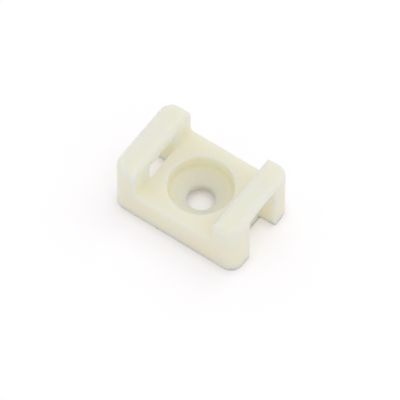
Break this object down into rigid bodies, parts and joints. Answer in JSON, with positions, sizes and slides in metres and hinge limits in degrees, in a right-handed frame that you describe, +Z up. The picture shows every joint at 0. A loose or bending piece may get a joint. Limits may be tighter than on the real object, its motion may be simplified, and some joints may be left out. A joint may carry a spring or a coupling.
{
  "type": "cable tie mount",
  "caption": "One-piece saddle mount: a rectangular nylon block with a recessed screw hole between end towers, each with a tunnel that a cable tie threads through.",
  "frame": {"origin": "middle of the underside, on the mounting surface and on the screw hole's axis", "axes": "+X along the length and the run of the tie, +Y across the width, +Z up out of the mounting surface"},
  "size_m": [0.022, 0.0144, 0.0102],
  "materials": {
    "natural_nylon": "uncoloured nylon, slightly translucent, satin as moulded"
  },
  "bodies": {
    "root": {"mount_body": "natural_nylon"}
  },
  "joints": []
}
